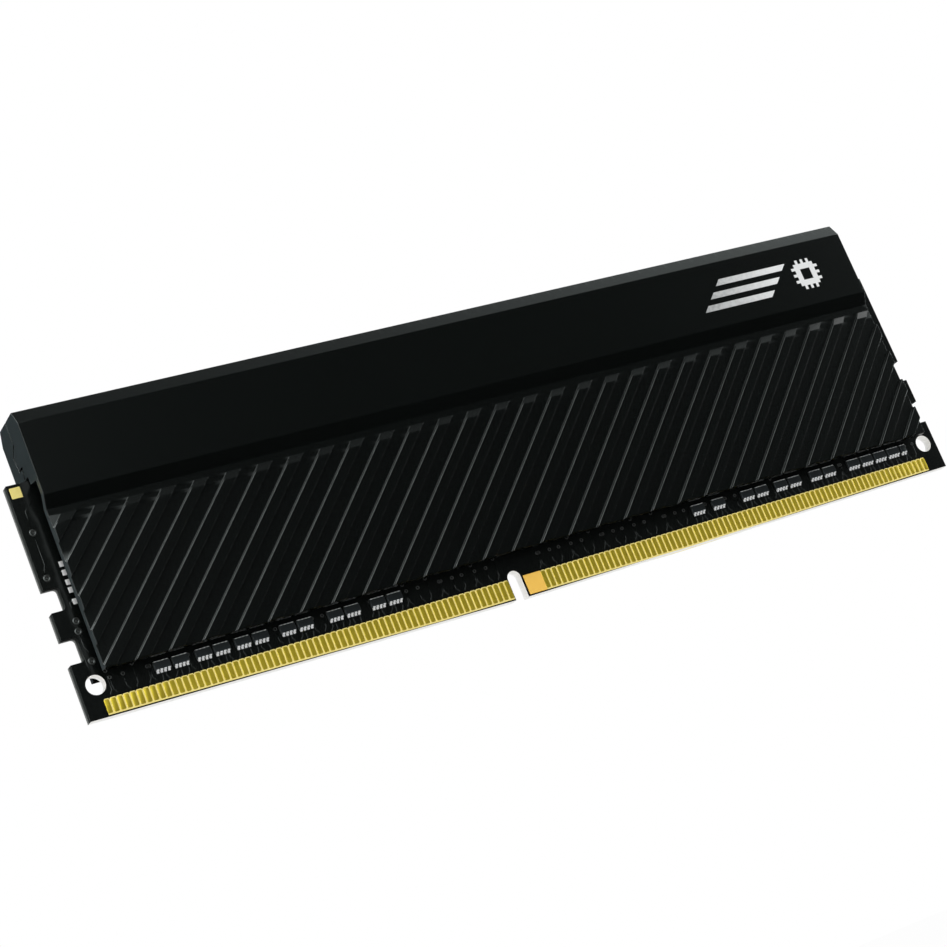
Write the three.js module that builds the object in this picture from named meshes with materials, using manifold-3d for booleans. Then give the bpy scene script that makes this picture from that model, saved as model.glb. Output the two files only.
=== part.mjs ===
// Desktop memory module: a card with gold edge contacts on both faces, memory chips, thermal pads
// and a two-shell black aluminium heat spreader with diagonal ribs.
// Millimetres. +X runs along the card, +Z points away from the socket, and the front faces -Y.
// The origin is the middle of the card's bottom edge, where it stands in its socket.
import * as THREE from 'three';
import { mergeVertices } from 'three/addons/utils/BufferGeometryUtils.js';
import Module from 'manifold-3d';

const wasm = await Module();
wasm.setup();

const FRONT = -1;
const REAR = 1;
const CURVE_SEGMENTS = 12;

// Card: the standard outline of a 133.35 mm desktop module.
const CARD_LENGTH = 133.35;
const CARD_HEIGHT = 31.25;
const CARD_THICKNESS = 1.4;
const HALF_LENGTH = CARD_LENGTH / 2;
const CARD_FACE = CARD_THICKNESS / 2;
// The bottom edge is lowest in the middle, between two knees, and rises in a straight line to each end.
const KNEE_LEFT = -18.8;
const KNEE_RIGHT = 20.1;
const END_RISE = 0.71;
const KEY_CENTRE = -6.53;
const KEY_WIDTH = 1.95;
const KEY_HEIGHT = 3.86;
const LATCH_DEPTH = 1.9;
const LATCH_LOWER = { bottom: 7.9, top: 11.1 };
const LATCH_UPPER = { bottom: 14.6, top: 17.6 };
const LATCH_CORNER = 0.6;
const HOLE_RADIUS = 1.25;
const HOLE_X = HALF_LENGTH - 2.1;
const HOLE_Z = 4.8;

// Edge contacts: a thin plated strip with raised fingers on it.
const CONTACT_PITCH = 0.85;
const CONTACT_WIDTH = 0.6;
const CONTACT_TOP = 2.85;
const FINGER_MARGIN = 0.3;
const PLATING_MARGIN = 0.06;
const PLATING_THICKNESS = 0.05;
const FINGER_THICKNESS = 0.1;
const LEFT_ROW = { first: -HALF_LENGTH + 2.35, count: 67 };
const RIGHT_ROW = { first: KEY_CENTRE + KEY_WIDTH / 2 + 2.98, count: 78 };
const WIDE_CONTACT_GAP = 0.28;

// Chips under the spreader.
const CHIP = { width: 8, depth: 1.05, height: 12, bottom: 9.6 };
const CHIP_PITCH = 14;
const CHIPS_EACH_SIDE = 4;
const HUB_CHIP = { width: 3, depth: 0.6, height: 2, z: 24.5 };
const PAD_LENGTH = 104;
const PAD_HEIGHT = 13;

// Resistor arrays between the contacts and the spreader, on thin solder lands. The last one is narrow.
const ARRAY = { width: 2.15, narrow: 1, depth: 0.4, height: 1.3, z: 4.85, pitch: 2.45 };
const LAND = { margin: 0.12, depth: 0.05 };
const ARRAY_BANKS = [
  { centre: -54.8, count: 2 },
  { centre: -49.3, count: 2 },
  { centre: -44.0, count: 2 },
  { centre: -37.8, count: 2 },
  { centre: -31.1, count: 2 },
  { centre: -25.0, count: 2 },
  { centre: 24.0, count: 1 },
  { centre: 27.4, count: 1 },
  { centre: 33.7, count: 2 },
  { centre: 39.5, count: 2 },
  { centre: 45.7, count: 2 },
  { centre: 55.0, count: 4 },
  { centre: 60.55, count: 1, width: ARRAY.narrow },
];

// Heat spreader.
const SPREADER_LENGTH = 127.44;
const SPREADER_END = SPREADER_LENGTH / 2;
const SPREADER_BOTTOM = 5.8;
const SPREADER_TOP = 39.4;
const BAND_FACE = 4;
const CHAMFER = { depth: 1, height: 1.8 };
const STEP_TOP = 28.1;
const STEP_BOTTOM = 26.45;
const SHEET = 0.9;
const PANEL_FACE = 3.05;
// The sheet's inner bend sits this much higher than its outer bend.
const BEND_LIFT = 0.25;
const HEAD = { bottom: 30.3, slope: 0.3, cardSide: 0.95, cardTop: 0.4 };
// Above the card the shells meet along a hooked seam.
const SEAM_GAP = 0.2;
const HOOK = { foot: 0.3, root: -0.3, reach: 1.1, bulge: 1.5, line: -0.1 };
const HOOK_BOTTOM = 33.3;
const HOOK_SHOULDER = 35.3;
const HOOK_TOP = 36.2;

// Ribs lean at 45 degrees and end in a short ramp below the step.
const RIB_PITCH = 4.424;
const RIB_WIDTH = 1.95;
const RIB_HEIGHT = 0.5;
const RIB_FIRST = -87.7; // where the first rib's left wall would meet Z = 0
const RIB_COUNT = 33;
const RAMP_TOP = 25.55;
const RAMP_BOTTOM = 24.45;
const RIB_ROOT = 0.2;

// Printed pictogram on the flat band.
const PRINT_THICKNESS = 0.05;
const ICON = { x: 55.4, z: 32.8, size: 3.4, window: 1.7, pinLength: 0.6, pinWidth: 0.42, pins: 3 };
const STRIPE = { left: 38.4, right: 50.2, height: 0.9, count: 3, pitch: 1.75 };

const TEST_PAD = { size: 1.4, x: -HALF_LENGTH + 0.95, z: CARD_HEIGHT - 1.1, depth: 0.05 };

function material(color, roughness, metalness) {
  return new THREE.MeshStandardMaterial({ color, roughness, metalness });
}

const solderMask = material(0x1c2120, 0.45, 0.1);
const goldPlating = material(0xe9c95a, 0.3, 1);
const wideGold = material(0xf2b84c, 0.3, 1);
const blackAnodised = material(0x181d1c, 0.55, 0.6);
const chipEpoxy = material(0x202224, 0.7, 0);
const resistorCeramic = material(0x151718, 0.5, 0);
const thermalGap = material(0x8a9096, 0.9, 0);
const silverPrint = material(0xd2d4d3, 0.4, 0.6);

// A closed geometry as a manifold solid, and a solid as a geometry.
function solidFrom(geometry) {
  const bare = geometry.clone();
  bare.deleteAttribute('normal');
  bare.deleteAttribute('uv');
  const merged = mergeVertices(bare);
  return new wasm.Manifold(new wasm.Mesh({
    numProp: 3,
    vertProperties: new Float32Array(merged.attributes.position.array),
    triVerts: new Uint32Array(merged.index.array),
  }));
}

function geometryFrom(solid) {
  const mesh = solid.getMesh();
  const geometry = new THREE.BufferGeometry();
  geometry.setAttribute('position', new THREE.BufferAttribute(mesh.vertProperties, 3));
  geometry.setIndex(new THREE.BufferAttribute(mesh.triVerts, 1));
  return geometry;
}

function shapeFrom(points) {
  return new THREE.Shape(points.map(([a, b]) => new THREE.Vector2(a, b)));
}

// Shapes drawn in X and Z, given thickness between two heights above the card's middle plane.
function slab(shapes, side, inner, outer) {
  const geometry = new THREE.ExtrudeGeometry(shapes, {
    depth: outer - inner,
    bevelEnabled: false,
    curveSegments: CURVE_SEGMENTS,
  });
  geometry.rotateX(Math.PI / 2);
  geometry.translate(0, side === FRONT ? -inner : outer, 0);
  return geometry;
}

// A profile drawn in Y and Z, run along X between the spreader's ends.
function profileAlongX(points, halfLength) {
  const geometry = new THREE.ExtrudeGeometry(shapeFrom(points), {
    depth: 2 * halfLength,
    bevelEnabled: false,
  });
  const axes = new THREE.Matrix4().makeBasis(
    new THREE.Vector3(0, 1, 0),
    new THREE.Vector3(0, 0, 1),
    new THREE.Vector3(1, 0, 0),
  );
  geometry.applyMatrix4(axes);
  geometry.translate(-halfLength, 0, 0);
  return geometry;
}

function addMesh(group, name, geometry, partMaterial) {
  const mesh = new THREE.Mesh(geometry, partMaterial);
  mesh.name = name;
  group.add(mesh);
  return mesh;
}

// Height of the card's bottom edge at a place along its length.
function edgeHeight(x) {
  if (x < KNEE_LEFT) {
    return END_RISE * (KNEE_LEFT - x) / (HALF_LENGTH + KNEE_LEFT);
  }
  if (x > KNEE_RIGHT) {
    return END_RISE * (x - KNEE_RIGHT) / (HALF_LENGTH - KNEE_RIGHT);
  }
  return 0;
}

// One latch notch on an end of the card, walked upwards (direction 1) or downwards (-1).
function cutLatch(path, end, notch, direction) {
  const inner = end * (HALF_LENGTH - LATCH_DEPTH);
  const outer = end * HALF_LENGTH;
  const near = direction > 0 ? notch.bottom : notch.top;
  const far = direction > 0 ? notch.top : notch.bottom;
  path.lineTo(outer, near);
  path.lineTo(inner + end * LATCH_CORNER, near);
  path.quadraticCurveTo(inner, near, inner, near + direction * LATCH_CORNER);
  path.lineTo(inner, far - direction * LATCH_CORNER);
  path.quadraticCurveTo(inner, far, inner + end * LATCH_CORNER, far);
  path.lineTo(outer, far);
}

function cardShape() {
  const keyRadius = KEY_WIDTH / 2;
  const shape = new THREE.Shape();
  shape.moveTo(-HALF_LENGTH, END_RISE);
  shape.lineTo(KNEE_LEFT, 0);
  shape.lineTo(KEY_CENTRE - keyRadius, 0);
  shape.lineTo(KEY_CENTRE - keyRadius, KEY_HEIGHT - keyRadius);
  shape.absarc(KEY_CENTRE, KEY_HEIGHT - keyRadius, keyRadius, Math.PI, 0, true);
  shape.lineTo(KEY_CENTRE + keyRadius, 0);
  shape.lineTo(KNEE_RIGHT, 0);
  shape.lineTo(HALF_LENGTH, END_RISE);
  cutLatch(shape, 1, LATCH_LOWER, 1);
  cutLatch(shape, 1, LATCH_UPPER, 1);
  shape.lineTo(HALF_LENGTH, CARD_HEIGHT);
  shape.lineTo(-HALF_LENGTH, CARD_HEIGHT);
  cutLatch(shape, -1, LATCH_UPPER, -1);
  cutLatch(shape, -1, LATCH_LOWER, -1);
  shape.closePath();
  for (const end of [-1, 1]) {
    const hole = new THREE.Path();
    hole.absarc(end * HOLE_X, HOLE_Z, HOLE_RADIUS, 0, 2 * Math.PI, true);
    shape.holes.push(hole);
  }
  return shape;
}

function cardGeometry() {
  const geometry = slab(cardShape(), FRONT, -CARD_FACE, CARD_FACE);
  return geometryFrom(solidFrom(geometry));
}

// The plated strip under a row of fingers, its lower side following the card's edge.
function platingShape(left, right) {
  const lower = [[left, edgeHeight(left) + PLATING_MARGIN]];
  for (const knee of [KNEE_LEFT, KNEE_RIGHT]) {
    if (knee > left && knee < right) {
      lower.push([knee, PLATING_MARGIN]);
    }
  }
  lower.push([right, edgeHeight(right) + PLATING_MARGIN]);
  return shapeFrom([...lower, [right, CONTACT_TOP], [left, CONTACT_TOP]]);
}

function fingerShape(left, width) {
  const right = left + width;
  return shapeFrom([
    [left, edgeHeight(left) + FINGER_MARGIN],
    [right, edgeHeight(right) + FINGER_MARGIN],
    [right, CONTACT_TOP],
    [left, CONTACT_TOP],
  ]);
}

function contactRowGeometry(row, side) {
  const right = row.first + (row.count - 1) * CONTACT_PITCH + CONTACT_WIDTH;
  const fingers = [];
  for (let index = 0; index < row.count; index += 1) {
    fingers.push(fingerShape(row.first + index * CONTACT_PITCH, CONTACT_WIDTH));
  }
  const plating = slab(platingShape(row.first, right), side, CARD_FACE, CARD_FACE + PLATING_THICKNESS);
  const raised = slab(fingers, side, CARD_FACE, CARD_FACE + FINGER_THICKNESS);
  return geometryFrom(solidFrom(plating).add(solidFrom(raised)));
}

function wideContactGeometry(side) {
  const left = KEY_CENTRE + KEY_WIDTH / 2 + WIDE_CONTACT_GAP;
  const shape = platingShape(left, RIGHT_ROW.first);
  return slab(shape, side, CARD_FACE, CARD_FACE + FINGER_THICKNESS);
}

function arrayBankGeometry({ count, width = ARRAY.width }, side) {
  const length = (count - 1) * ARRAY.pitch + width;
  const landWidth = length / 2 + LAND.margin;
  const landHeight = ARRAY.height / 2 + LAND.margin;
  const land = shapeFrom([
    [-landWidth, -landHeight],
    [landWidth, -landHeight],
    [landWidth, landHeight],
    [-landWidth, landHeight],
  ]);
  const bodies = [];
  for (let index = 0; index < count; index += 1) {
    const left = -length / 2 + index * ARRAY.pitch;
    const half = ARRAY.height / 2;
    bodies.push(shapeFrom([
      [left, -half],
      [left + width, -half],
      [left + width, half],
      [left, half],
    ]));
  }
  const landSolid = solidFrom(slab(land, side, 0, LAND.depth));
  return geometryFrom(landSolid.add(solidFrom(slab(bodies, side, 0, ARRAY.depth))));
}

// The seam between the shells, from just above the card's top edge to the spreader's top.
function seamPath(gap) {
  return [
    [HOOK.foot + gap, CARD_HEIGHT + HEAD.cardTop],
    [HOOK.root + 2 * gap, HOOK_BOTTOM - gap],
    [HOOK.reach + gap, HOOK_BOTTOM - gap],
    [HOOK.bulge + gap, HOOK_SHOULDER],
    [HOOK.line + gap, HOOK_TOP + gap],
    [HOOK.line + gap, SPREADER_TOP],
  ];
}

// A shell's end profile, from its lower inner corner up the inside, along the seam and down the outside.
function shellProfile(side) {
  const panelInner = PANEL_FACE - SHEET;
  const bandInner = BAND_FACE - SHEET;
  return [
    [side * panelInner, SPREADER_BOTTOM],
    [side * panelInner, STEP_BOTTOM + BEND_LIFT],
    [side * bandInner, STEP_TOP + BEND_LIFT],
    [side * bandInner, HEAD.bottom],
    [side * HEAD.cardSide, HEAD.bottom + HEAD.slope],
    [side * HEAD.cardSide, CARD_HEIGHT + HEAD.cardTop],
    ...seamPath(side === FRONT ? 0 : SEAM_GAP),
    [side * (BAND_FACE - CHAMFER.depth), SPREADER_TOP],
    [side * BAND_FACE, SPREADER_TOP - CHAMFER.height],
    [side * BAND_FACE, STEP_TOP],
    [side * PANEL_FACE, STEP_BOTTOM],
    [side * PANEL_FACE, SPREADER_BOTTOM],
  ];
}

// One rib as a solid: a leaning bar whose top end slopes back into the panel. It is drawn for the
// front, and its foot reaches into the sheet so that the two join.
function ribGeometry(offset) {
  const foot = -(PANEL_FACE - RIB_ROOT);
  const crest = -(PANEL_FACE + RIB_HEIGHT);
  const low = SPREADER_BOTTOM;
  const points = [];
  for (const wall of [0, RIB_WIDTH]) {
    points.push([low + offset + wall, foot, low]);
    points.push([low + offset + wall, crest, low]);
    points.push([RAMP_BOTTOM + offset + wall, crest, RAMP_BOTTOM]);
    points.push([RAMP_TOP + offset + wall, -PANEL_FACE, RAMP_TOP]);
    points.push([RAMP_TOP + offset + wall, foot, RAMP_TOP]);
  }
  const faces = [
    [0, 1, 2], [0, 2, 3], [0, 3, 4],
    [5, 7, 6], [5, 8, 7], [5, 9, 8],
    [0, 5, 6], [0, 6, 1],
    [1, 6, 7], [1, 7, 2],
    [2, 7, 8], [2, 8, 3],
    [3, 8, 9], [3, 9, 4],
    [4, 9, 5], [4, 5, 0],
  ];
  const geometry = new THREE.BufferGeometry();
  geometry.setAttribute('position', new THREE.Float32BufferAttribute(points.flat(), 3));
  geometry.setIndex(faces.flat());
  return geometry;
}

function ribsSolid() {
  const frontDepth = PANEL_FACE + RIB_HEIGHT;
  const reach = new THREE.BoxGeometry(SPREADER_LENGTH, 2 * frontDepth, 2 * SPREADER_TOP);
  let ribs = null;
  for (let index = 0; index < RIB_COUNT; index += 1) {
    const rib = solidFrom(ribGeometry(RIB_FIRST + index * RIB_PITCH));
    ribs = ribs === null ? rib : ribs.add(rib);
  }
  return ribs.intersect(solidFrom(reach));
}

// Each shell carries the same ribs, as seen by someone who faces it.
function shellGeometry(side) {
  const sheet = solidFrom(profileAlongX(shellProfile(side), SPREADER_END));
  const ribs = side === FRONT ? ribsSolid() : ribsSolid().rotate([0, 0, 180]);
  return geometryFrom(sheet.add(ribs));
}

// A square chip pictogram: a body with pins on its four sides and a window in its middle.
function iconShape() {
  const half = ICON.size / 2;
  const tip = half + ICON.pinLength;
  const pitch = ICON.size / (ICON.pins + 0.5);
  const side = [];
  for (let index = 0; index < ICON.pins; index += 1) {
    const left = (index - (ICON.pins - 1) / 2) * pitch - ICON.pinWidth / 2;
    const right = left + ICON.pinWidth;
    side.push([left, -half], [left, -tip], [right, -tip], [right, -half]);
  }
  const outline = [];
  for (let turn = 0; turn < 4; turn += 1) {
    const angle = turn * Math.PI / 2;
    const spun = [[-half, -half], ...side].map(([a, b]) => [
      a * Math.cos(angle) - b * Math.sin(angle) + ICON.x,
      a * Math.sin(angle) + b * Math.cos(angle) + ICON.z,
    ]);
    outline.push(...spun);
  }
  const shape = shapeFrom(outline);
  const w = ICON.window / 2;
  const corners = [[-w, -w], [-w, w], [w, w], [w, -w]];
  const window = corners.map(([a, b]) => new THREE.Vector2(ICON.x + a, ICON.z + b));
  shape.holes.push(new THREE.Path(window));
  return shape;
}

// A flat stripe whose ends lean like the ribs.
function stripeShape(index) {
  const middle = ICON.z + (index - (STRIPE.count - 1) / 2) * STRIPE.pitch;
  const low = middle - STRIPE.height / 2;
  const high = middle + STRIPE.height / 2;
  return shapeFrom([
    [STRIPE.left + low - ICON.z, low],
    [STRIPE.right + low - ICON.z, low],
    [STRIPE.right + high - ICON.z, high],
    [STRIPE.left + high - ICON.z, high],
  ]);
}

function addCard(module) {
  addMesh(module, 'circuit_board', cardGeometry(), solderMask);
  const pad = new THREE.BoxGeometry(TEST_PAD.size, TEST_PAD.depth, TEST_PAD.size);
  const testPad = addMesh(module, 'corner_test_pad', pad, goldPlating);
  testPad.position.set(TEST_PAD.x, -(CARD_FACE + TEST_PAD.depth / 2), TEST_PAD.z);
}

function addContacts(module, side, word) {
  addMesh(module, `${word}_contacts_left`, contactRowGeometry(LEFT_ROW, side), goldPlating);
  addMesh(module, `${word}_contacts_right`, contactRowGeometry(RIGHT_ROW, side), goldPlating);
  addMesh(module, `${word}_wide_contact`, wideContactGeometry(side), wideGold);
}

function addChips(module, side, word) {
  for (let index = 0; index < 2 * CHIPS_EACH_SIDE; index += 1) {
    const body = new THREE.BoxGeometry(CHIP.width, CHIP.depth, CHIP.height);
    const chip = addMesh(module, `${word}_memory_chip_${index + 1}`, body, chipEpoxy);
    const x = (index - CHIPS_EACH_SIDE + 0.5) * CHIP_PITCH;
    chip.position.set(x, side * (CARD_FACE + CHIP.depth / 2), CHIP.bottom + CHIP.height / 2);
  }
  const gap = PANEL_FACE - SHEET - CARD_FACE - CHIP.depth;
  const sheet = new THREE.BoxGeometry(PAD_LENGTH + CHIP.width, gap, PAD_HEIGHT);
  const thermalPad = addMesh(module, `${word}_thermal_pad`, sheet, thermalGap);
  thermalPad.position.set(0, side * (CARD_FACE + CHIP.depth + gap / 2), CHIP.bottom + CHIP.height / 2);
}

function addHubChip(module) {
  const body = new THREE.BoxGeometry(HUB_CHIP.width, HUB_CHIP.depth, HUB_CHIP.height);
  const hub = addMesh(module, 'settings_memory_chip', body, chipEpoxy);
  hub.position.set(0, -(CARD_FACE + HUB_CHIP.depth / 2), HUB_CHIP.z);
}

function addArrayBanks(module, side, word) {
  ARRAY_BANKS.forEach((bank, index) => {
    const geometry = arrayBankGeometry(bank, side);
    const mesh = addMesh(module, `${word}_resistor_bank_${index + 1}`, geometry, resistorCeramic);
    mesh.position.set(bank.centre, side * CARD_FACE, ARRAY.z);
  });
}

function addPictogram(module) {
  const icon = slab(iconShape(), FRONT, BAND_FACE, BAND_FACE + PRINT_THICKNESS);
  addMesh(module, 'pictogram_chip', icon, silverPrint);
  for (let index = 0; index < STRIPE.count; index += 1) {
    const stripe = slab(stripeShape(index), FRONT, BAND_FACE, BAND_FACE + PRINT_THICKNESS);
    addMesh(module, `pictogram_stripe_${index + 1}`, stripe, silverPrint);
  }
}

const memoryModule = new THREE.Group();
addCard(memoryModule);
for (const [side, word] of [[FRONT, 'front'], [REAR, 'rear']]) {
  addContacts(memoryModule, side, word);
  addChips(memoryModule, side, word);
  addArrayBanks(memoryModule, side, word);
  addMesh(memoryModule, `${word}_heat_spreader`, shellGeometry(side), blackAnodised);
}
addHubChip(memoryModule);
addPictogram(memoryModule);

export default memoryModule;
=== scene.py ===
"""Looks for a desktop memory module: card, gold contacts, resistor arrays and black heat spreader.

Lengths are written in millimetres. Meshes are built in millimetres too, and turned into metres when
they are made into pieces. The front faces -Y, +X runs along the card and +Z points away from the
socket. Each shape is drawn for the front. The rear shell is the same shape turned half round Z, and
what lies on the card's rear face is flipped onto it, at the same places along X.
"""
import math

import bmesh
import bpy
from mathutils import Matrix, Vector


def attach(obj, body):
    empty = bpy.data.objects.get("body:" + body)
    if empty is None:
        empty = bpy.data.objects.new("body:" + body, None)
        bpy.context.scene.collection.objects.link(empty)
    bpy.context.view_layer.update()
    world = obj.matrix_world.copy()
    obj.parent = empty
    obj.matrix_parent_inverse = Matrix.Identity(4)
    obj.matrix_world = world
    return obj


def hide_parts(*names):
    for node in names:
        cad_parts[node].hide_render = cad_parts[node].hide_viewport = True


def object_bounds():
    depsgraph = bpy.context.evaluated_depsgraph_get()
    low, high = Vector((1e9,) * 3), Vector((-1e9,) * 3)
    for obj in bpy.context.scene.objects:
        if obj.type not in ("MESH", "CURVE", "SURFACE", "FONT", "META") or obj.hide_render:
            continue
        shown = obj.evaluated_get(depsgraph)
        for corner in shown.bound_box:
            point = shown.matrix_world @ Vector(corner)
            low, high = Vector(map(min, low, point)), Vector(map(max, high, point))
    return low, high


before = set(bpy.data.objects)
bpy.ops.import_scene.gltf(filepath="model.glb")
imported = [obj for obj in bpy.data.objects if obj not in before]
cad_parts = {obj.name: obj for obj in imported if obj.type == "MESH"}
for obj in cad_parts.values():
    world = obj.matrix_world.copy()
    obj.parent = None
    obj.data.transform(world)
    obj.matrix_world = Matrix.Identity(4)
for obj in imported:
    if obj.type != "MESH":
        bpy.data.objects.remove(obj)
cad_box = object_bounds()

MM = 0.001
SIDES = ("front", "rear")

# Card, as in the CAD.
HALF_LENGTH = 66.675
CARD_FACE = 0.7
CARD_TOP = 31.25
KNEE_LEFT = -18.8
KNEE_RIGHT = 20.1
END_RISE = 0.71
KEY_CENTRE = -6.53
KEY_WIDTH = 1.95
HOLE_X = 64.575
HOLE_Z = 4.8
EDGE_EASING = 0.04
FLAT_WEIGHT = 90

# Details on the card. They sink a little into it so that no gap shows.
SINK = 0.01
PAD_HEIGHT = 0.05
TRACE_WIDTH = 0.16
TRACE_DEPTHS = (CARD_FACE - SINK, CARD_FACE + 0.012)
VIA_RADIUS = 0.48
SMALL_VIA_RADIUS = 0.26
LEFT_PADS = (20.17, 19.06, 17.81, 16.79, 15.30)
LEFT_VIAS = [(-65.4, 24.8), (-65.7, 18.9), (-64.1, 12.9), (-64.3, 11.6), (-64.0, 7.7)]

# Contacts.
CONTACT_PITCH = 0.85
CONTACT_WIDTH = 0.6
CONTACT_TOP = 2.87
FINGER_TOP = 2.74
SHOULDER = 0.2
FINGER_MARGIN = 0.38
FINGER_RADIUS = 0.15
OVERHANG = 0.02
# How far the bright strip under the fingers, a painted highlight for their edges, keeps from the card's
# edge, and how far it stands out.
STRIP_MARGIN = 0.2
STRIP_OUT = CARD_FACE + 0.05
FINGER_IN = CARD_FACE + 0.01
FINGER_OUT = CARD_FACE + 0.1
LEFT_ROW = (-64.325, 67)
RIGHT_ROW = (KEY_CENTRE + KEY_WIDTH / 2 + 2.98, 78)
WIDE_GAP = 0.28

# Heat spreader.
SPREADER_END = 63.72
SPREADER_BOTTOM = 5.8
SPREADER_TOP = 39.4
BAND_FACE = 4.0
BAND_TOP = 37.6
STEP_TOP = 28.1
STEP_BOTTOM = 26.45
PANEL_FACE = 3.05
SHEET = 0.9
END_ROUNDING = 0.05
SEAM_GAP = 0.2

# Ribs, measured square to their length where not said otherwise.
RIB_PITCH_X = 4.424
RIB_FIRST_X = -87.7
RIB_COUNT = 33
RIB_WIDTH_X = 1.95
RIB_HEIGHT = 0.5
RIB_FOOT = 0.10
RIB_CREST = 0.08
RIB_DRAFT = 0.03
# The right crests get a fifth of the left crests' lightening: the left crests' extra is a painted highlight,
# as if light fell from the upper left. The lightening fades out down the ramps.
RIGHT_CREST_LIGHTENING = 0.2
RAMP_LIGHTENING_FADE = 4
RAMP_TOP = 25.55
RAMP_BOTTOM = 24.45
RAMP_SOFT = 0.08

# Resistor arrays: (centre, count, terminals) of each bank.
ARRAY_WIDTH = 2.15
NARROW_WIDTH = 1.0
ARRAY_PITCH = 2.45
ARRAY_Z = 4.85
ARRAY_HALF = 0.55
TERMINAL_PITCH = 0.5
TERMINAL_WIDTH = 0.32
BANKS = [(-54.8, 2, 4), (-49.3, 2, 4), (-44.0, 2, 4), (-37.8, 2, 4), (-31.1, 2, 4), (-25.0, 2, 4),
         (24.0, 1, 4), (27.4, 1, 4), (33.7, 2, 4), (39.5, 2, 4), (45.7, 2, 4), (55.0, 4, 4),
         (60.55, 1, 2)]

# Chips.
CHIP_WIDTH = 8.0
CHIP_HEIGHT = 12.0
CHIP_DEPTH = 1.05
CHIP_LOW = 9.6
CHIP_LIFT = 0.22
CHIP_PITCH = 14.0
CHIP_COUNT = 8
SUBSTRATE_DEPTH = 0.2
BALL_COLUMNS = (-3.2, -2.4, 2.4, 3.2)
BALL_ROWS = 13
BALL_PITCH = 0.8
BALL_HALF = 0.22

# Studio. A soft box lies where the surfaces that it is for mirror the camera. Each has its azimuth from
# the module's right end and its elevation, then how far its light reaches, in degrees, and its strength.
DARK_WALL = 0.008
COOL_WHITE = (0.91, 1.0, 0.985, 1)
OVER_THE_SHOULDER = (-120, 25, 46, 3.2)  # the gold, every rounding that faces the camera, the left end
UPPER_LEFT = (-160, 50, 35, 6.5)  # the left crests of the ribs
OVERHEAD = (-45, 65, 40, 0.2)  # the chamfer and the ramps along the whole module
UPPER_RIGHT = (5, 35, 33, 1.4)  # the chamfer and the ramps, more towards the right end
LOW_RIGHT = (-25, 15, 22, 1.5)  # the right end of the band
RIGHT = (25, 0, 25, 4.0)  # the right crests of the ribs
SOFT_BOXES = (OVER_THE_SHOULDER, UPPER_LEFT, OVERHEAD, UPPER_RIGHT, LOW_RIGHT, RIGHT)

# Small lamps: (place, what it is aimed at, size, power).
RAMP_LIGHT = ((115, -30, 80), (60, 0, 20), 20, 0.002)
RIB_LIGHT = ((125, -25, 5), (60, 0, 20), 20, 0.0025)

# Camera: below and left of the front, rolled with the module.
CAMERA_PLACE = (-0.15908, -0.26687, -0.05397)
CAMERA_TURN = (104.197, 21.808, -24.501)
CAMERA_LENS = 91.69
SENSOR_WIDTH = 36.0

# Floor, in metres.
FLOOR_SIZE = 4
FLOOR_DROP = 0.075
FLOOR_WHITE = (0.985, 0.985, 0.985, 1)


# ---------------------------------------------------------------- shader helpers

def shader(name):
    """A new material with a Principled shader, as (material, node tree, shader node)."""
    material = bpy.data.materials.new(name)
    material.use_nodes = True
    tree = material.node_tree
    return material, tree, tree.nodes["Principled BSDF"]


def set_input(tree, socket, value):
    if isinstance(value, bpy.types.NodeSocket):
        tree.links.new(value, socket)
    else:
        socket.default_value = value


def add_node(tree, kind, settings=None, inputs=None):
    """A new node with its attributes set, and its inputs linked to sockets or set to values."""
    node = tree.nodes.new(kind)
    for key, value in (settings or {}).items():
        setattr(node, key, value)
    for key, value in (inputs or {}).items():
        set_input(tree, node.inputs[key], value)
    return node


def object_place(tree, stretch=(1, 1, 1)):
    place = add_node(tree, "ShaderNodeTexCoord").outputs["Object"]
    return add_node(tree, "ShaderNodeMapping", None, {"Vector": place, "Scale": stretch}).outputs[0]


def noise(tree, scale, detail=2.0, stretch=(1, 1, 1)):
    """Noise over the object's own coordinates; scale is in features per metre."""
    inputs = {"Vector": object_place(tree, stretch), "Scale": scale, "Detail": detail}
    return add_node(tree, "ShaderNodeTexNoise", None, inputs).outputs["Fac"]


def spread(tree, value, low, high, to_low=0.0, to_high=1.0):
    """Maps a value's range onto another range, clamped."""
    inputs = {"Value": value, "From Min": low, "From Max": high, "To Min": to_low, "To Max": to_high}
    return add_node(tree, "ShaderNodeMapRange", None, inputs).outputs["Result"]


def maths(tree, operation, first, second=0.0):
    return add_node(tree, "ShaderNodeMath", {"operation": operation}, {0: first, 1: second}).outputs[0]


def mix_colour(tree, factor, first, second):
    node = add_node(tree, "ShaderNodeMix", {"data_type": "RGBA"})
    sockets = {socket.name: socket for socket in node.inputs if socket.enabled}
    for key, value in (("Factor", factor), ("A", first), ("B", second)):
        set_input(tree, sockets[key], value)
    return next(socket for socket in node.outputs if socket.enabled)


def bump(tree, bsdf, height, strength, distance):
    inputs = {"Height": height, "Strength": strength, "Distance": distance}
    node = add_node(tree, "ShaderNodeBump", None, inputs)
    tree.links.new(node.outputs["Normal"], bsdf.inputs["Normal"])


def feed(tree, bsdf, **values):
    """Sets or links Principled inputs by name, with underscores for spaces."""
    for key, value in values.items():
        set_input(tree, bsdf.inputs[key.replace("_", " ")], value)


def wear_and_highlight_of(tree):
    """How much a point is lightened, as the mesh says: 1 on the crests of sharp edges. The lightening stands
    for rubbed edges and, on the ribs' left crests, a painted highlight.
    """
    return add_node(tree, "ShaderNodeAttribute", {"attribute_name": "wear_and_highlight"}).outputs["Fac"]


# ---------------------------------------------------------------- materials

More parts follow.
